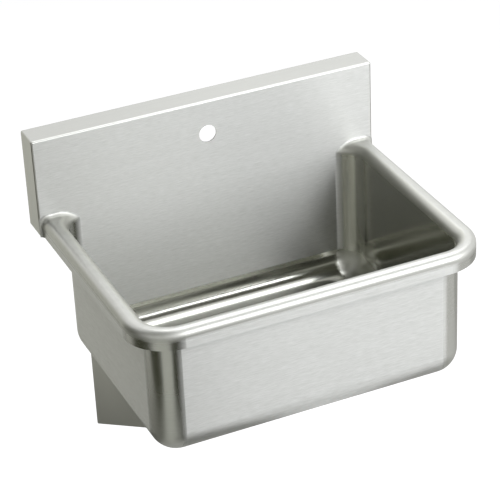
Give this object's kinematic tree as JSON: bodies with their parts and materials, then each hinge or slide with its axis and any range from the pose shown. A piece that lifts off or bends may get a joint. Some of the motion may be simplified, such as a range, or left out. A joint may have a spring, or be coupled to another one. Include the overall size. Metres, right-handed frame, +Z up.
{
  "type": "wall-mounted hand sink",
  "caption": "Wall-hung stainless hand sink: deep coved bowl with rolled rim, folded backsplash with faucet hole, gusset brackets, wall hanger and a lift-out basket drain.",
  "frame": {"origin": "on the wall plane, in the middle of the wall hanger's screw holes", "axes": "+X to the right along the sink's width, +Y into the wall, +Z up"},
  "size_m": [0.635, 0.491, 0.619],
  "materials": {
    "satin_stainless": "fine horizontal brushed grain, polished rims and coves",
    "bracket_stainless": "mill finish stainless sheet",
    "hanger_steel": "galvanised sheet",
    "fastener_steel": "plain bright fastener steel",
    "damping_pad": "matt grey damping sheet",
    "polished_stainless": "polished stainless",
    "sealing_foam": "soft closed-cell seal",
    "black_rubber": "matt black rubber",
    "fibre_ring": "hard fibre",
    "cast_nut": "rough cast brass"
  },
  "bodies": {
    "sink": {"bowl": "satin_stainless", "backsplash": "satin_stainless", "left_bracket": "bracket_stainless", "right_bracket": "bracket_stainless", "hanger_channel": "hanger_steel", "wall_hanger": "hanger_steel", "bracket_studs": "fastener_steel", "bracket_washers": "fastener_steel", "bracket_nuts": "fastener_steel", "sound_pad": "damping_pad", "strainer_body": "polished_stainless", "flange_gasket": "sealing_foam", "body_gasket": "black_rubber", "friction_ring": "fibre_ring", "locknut": "cast_nut"},
    "basket": {"basket_cup": "polished_stainless", "basket_stem": "polished_stainless", "basket_knob": "polished_stainless", "basket_stopper": "black_rubber", "stopper_washer": "fastener_steel", "stem_clip": "fastener_steel"}
  },
  "joints": [
    {"name": "basket_lift", "type": "slide", "parent": "sink", "child": "basket", "axis": [0, 0, 1], "range_m": [0, 0.07]}
  ]
}
